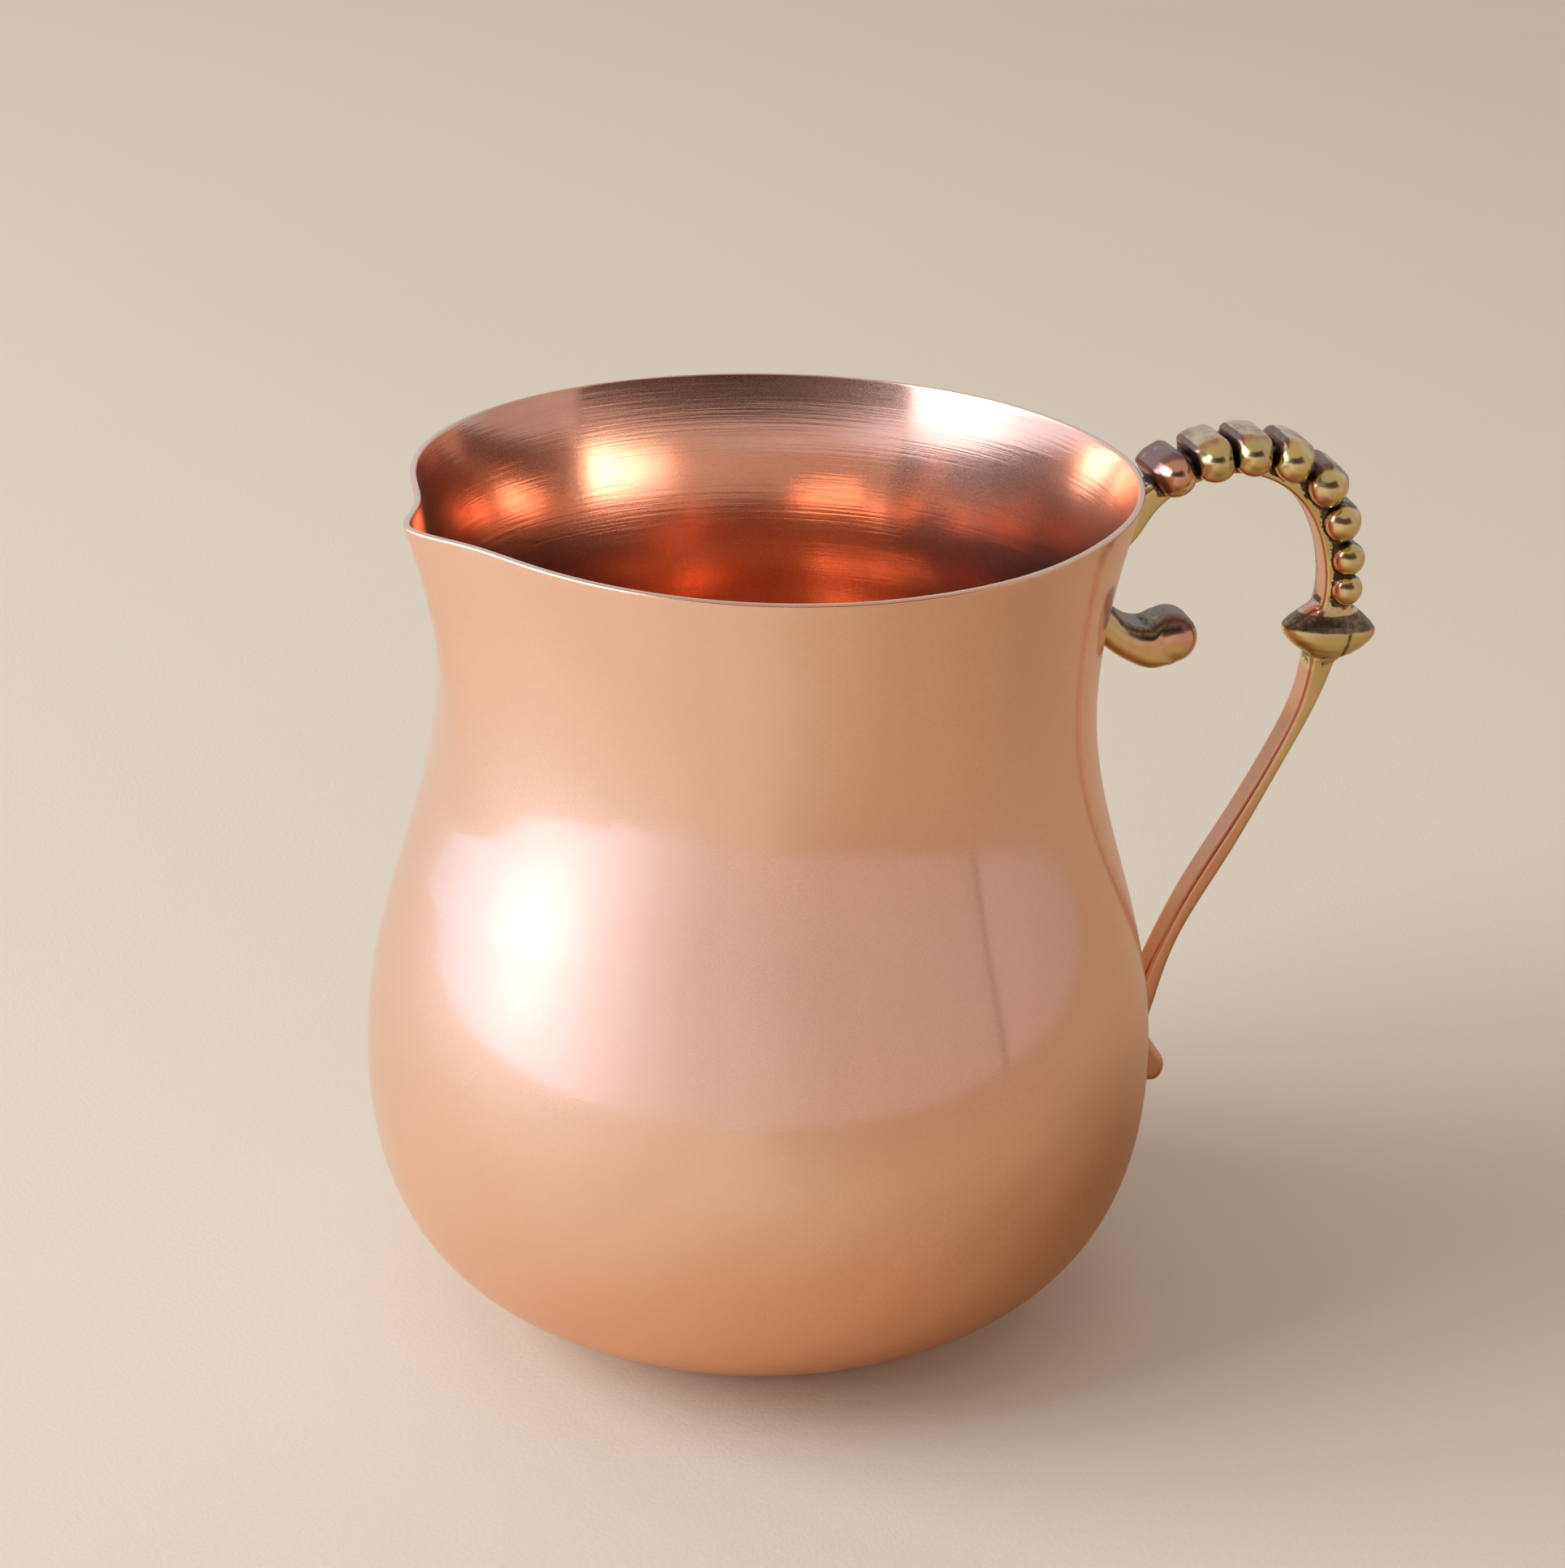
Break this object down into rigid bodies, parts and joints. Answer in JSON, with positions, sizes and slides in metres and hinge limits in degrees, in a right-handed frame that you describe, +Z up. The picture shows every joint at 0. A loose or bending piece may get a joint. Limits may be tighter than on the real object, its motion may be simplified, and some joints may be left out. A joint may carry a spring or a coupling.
{
  "type": "milk frothing jug",
  "caption": "Spun copper milk frothing jug with a round belly, flared neck, pinched pouring spout and a cast brass handle with a beaded arch, collar and scrolls.",
  "frame": {"origin": "centre of the flat base, on the surface that the jug stands on", "axes": "+Z up along the body's axis, +X from the body's axis to the handle, +Y completes a right-handed frame; the spout points to 194 degrees from +X, counter-clockwise seen from above"},
  "size_m": [0.1286, 0.0994, 0.1126],
  "materials": {
    "polished_copper": "spun sheet copper, polished outside to a soft gloss, brushed round the inside",
    "aged_brass": "sand-cast brass, hand polished on the high spots, dark patina in the recesses",
    "brazing_filler": "brass brazing filler, filed smooth, slightly darkened"
  },
  "bodies": {
    "root": {"body_shell": "polished_copper", "cast_handle": "aged_brass", "upper_braze_joint": "brazing_filler", "lower_braze_joint": "brazing_filler"}
  },
  "joints": []
}
